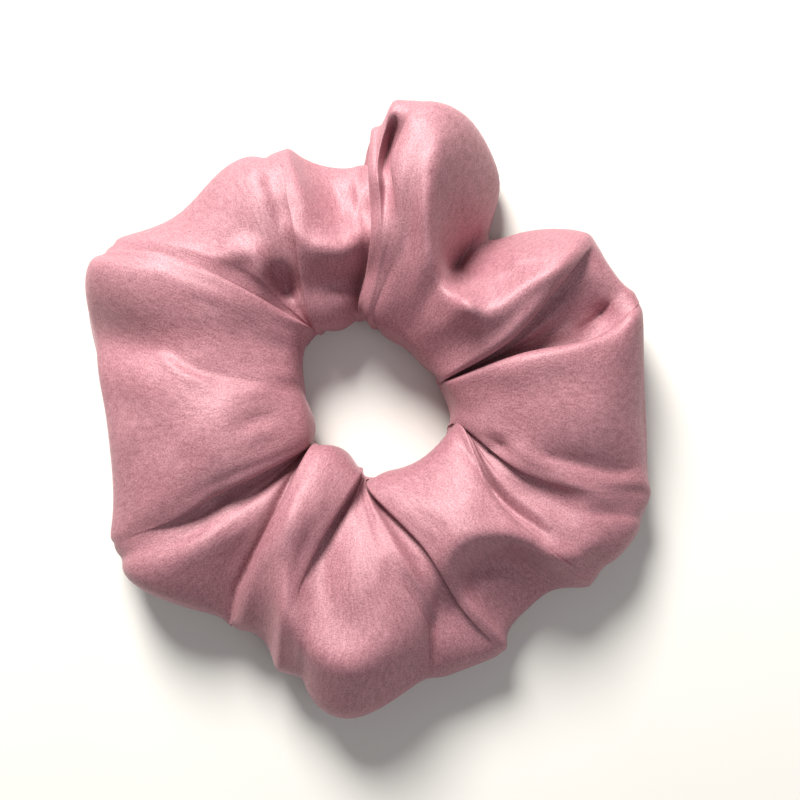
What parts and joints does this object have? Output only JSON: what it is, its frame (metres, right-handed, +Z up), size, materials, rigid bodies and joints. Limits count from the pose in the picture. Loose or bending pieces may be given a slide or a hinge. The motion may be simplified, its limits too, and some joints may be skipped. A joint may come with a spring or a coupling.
{
  "type": "scrunchie",
  "caption": "Gathered satin tube closed into a ring round a loop of flat elastic. Its hole stretches open to go round a ponytail and closes on it by itself.",
  "frame": {"origin": "on the table, under the middle of the bounding box of the relaxed ring", "axes": "+Z up, along the axis of the hole; +X towards the closing seam; +Y along the ring's longest side"},
  "size_m": [0.1156, 0.1246, 0.0269],
  "materials": {
    "satin": "dusty rose polyester satin, soft sheen",
    "braided_elastic": "flat braided polyester over rubber, matt",
    "sewing_thread": "spun polyester thread, dyed to match"
  },
  "bodies": {
    "seam_start": {"cover_00": "satin", "elastic_00": "braided_elastic", "long_seam_thread_00": "sewing_thread", "closing_seam_thread": "sewing_thread", "elastic_join_thread": "sewing_thread"},
    "gather_01": {"cover_01": "satin", "elastic_01": "braided_elastic", "long_seam_thread_01": "sewing_thread"},
    "gather_02": {"cover_02": "satin", "elastic_02": "braided_elastic", "long_seam_thread_02": "sewing_thread"},
    "gather_03": {"cover_03": "satin", "elastic_03": "braided_elastic", "long_seam_thread_03": "sewing_thread"},
    "gather_04": {"cover_04": "satin", "elastic_04": "braided_elastic", "long_seam_thread_04": "sewing_thread"},
    "gather_05": {"cover_05": "satin", "elastic_05": "braided_elastic", "long_seam_thread_05": "sewing_thread"},
    "gather_06": {"cover_06": "satin", "elastic_06": "braided_elastic", "long_seam_thread_06": "sewing_thread"},
    "gather_07": {"cover_07": "satin", "elastic_07": "braided_elastic", "long_seam_thread_07": "sewing_thread"},
    "gather_08": {"cover_08": "satin", "elastic_08": "braided_elastic", "long_seam_thread_08": "sewing_thread"},
    "gather_09": {"cover_09": "satin", "elastic_09": "braided_elastic", "long_seam_thread_09": "sewing_thread"},
    "gather_10": {"cover_10": "satin", "elastic_10": "braided_elastic", "long_seam_thread_10": "sewing_thread"},
    "gather_11": {"cover_11": "satin", "elastic_11": "braided_elastic", "long_seam_thread_11": "sewing_thread"},
    "seam_end": {"cover_12": "satin", "elastic_12": "braided_elastic", "long_seam_thread_12": "sewing_thread"}
  },
  "joints": [
    {"name": "stretch_01", "type": "slide", "parent": "seam_start", "child": "gather_01", "axis": [-0.2588, 0.9659, 0], "range_m": [0, 0.01], "stiffness_N_per_m": 600},
    {"name": "stretch_02", "type": "slide", "parent": "gather_01", "child": "gather_02", "axis": [-0.7071, 0.7071, 0], "range_m": [0, 0.01], "stiffness_N_per_m": 600},
    {"name": "stretch_03", "type": "slide", "parent": "gather_02", "child": "gather_03", "axis": [-0.9659, 0.2588, 0], "range_m": [0, 0.01], "stiffness_N_per_m": 600},
    {"name": "stretch_04", "type": "slide", "parent": "gather_03", "child": "gather_04", "axis": [-0.9659, -0.2588, 0], "range_m": [0, 0.01], "stiffness_N_per_m": 600},
    {"name": "stretch_05", "type": "slide", "parent": "gather_04", "child": "gather_05", "axis": [-0.7071, -0.7071, 0], "range_m": [0, 0.01], "stiffness_N_per_m": 600},
    {"name": "stretch_06", "type": "slide", "parent": "gather_05", "child": "gather_06", "axis": [-0.2588, -0.9659, 0], "range_m": [0, 0.01], "stiffness_N_per_m": 600},
    {"name": "stretch_07", "type": "slide", "parent": "gather_06", "child": "gather_07", "axis": [0.2588, -0.9659, 0], "range_m": [0, 0.01], "stiffness_N_per_m": 600},
    {"name": "stretch_08", "type": "slide", "parent": "gather_07", "child": "gather_08", "axis": [0.7071, -0.7071, 0], "range_m": [0, 0.01], "stiffness_N_per_m": 600},
    {"name": "stretch_09", "type": "slide", "parent": "gather_08", "child": "gather_09", "axis": [0.9659, -0.2588, 0], "range_m": [0, 0.01], "stiffness_N_per_m": 600},
    {"name": "stretch_10", "type": "slide", "parent": "gather_09", "child": "gather_10", "axis": [0.9659, 0.2588, 0], "range_m": [0, 0.01], "stiffness_N_per_m": 600},
    {"name": "stretch_11", "type": "slide", "parent": "gather_10", "child": "gather_11", "axis": [0.7071, 0.7071, 0], "range_m": [0, 0.01], "stiffness_N_per_m": 600},
    {"name": "stretch_12", "type": "slide", "parent": "gather_11", "child": "seam_end", "axis": [0.2588, 0.9659, 0], "range_m": [0, 0.01], "stiffness_N_per_m": 600}
  ],
  "couplings": [
    {"joint": "stretch_02", "follows": "stretch_01", "ratio": 1},
    {"joint": "stretch_03", "follows": "stretch_01", "ratio": 1},
    {"joint": "stretch_04", "follows": "stretch_01", "ratio": 1},
    {"joint": "stretch_05", "follows": "stretch_01", "ratio": 1},
    {"joint": "stretch_06", "follows": "stretch_01", "ratio": 1},
    {"joint": "stretch_07", "follows": "stretch_01", "ratio": 1},
    {"joint": "stretch_08", "follows": "stretch_01", "ratio": 1},
    {"joint": "stretch_09", "follows": "stretch_01", "ratio": 1},
    {"joint": "stretch_10", "follows": "stretch_01", "ratio": 1},
    {"joint": "stretch_11", "follows": "stretch_01", "ratio": 1},
    {"joint": "stretch_12", "follows": "stretch_01", "ratio": 1}
  ]
}
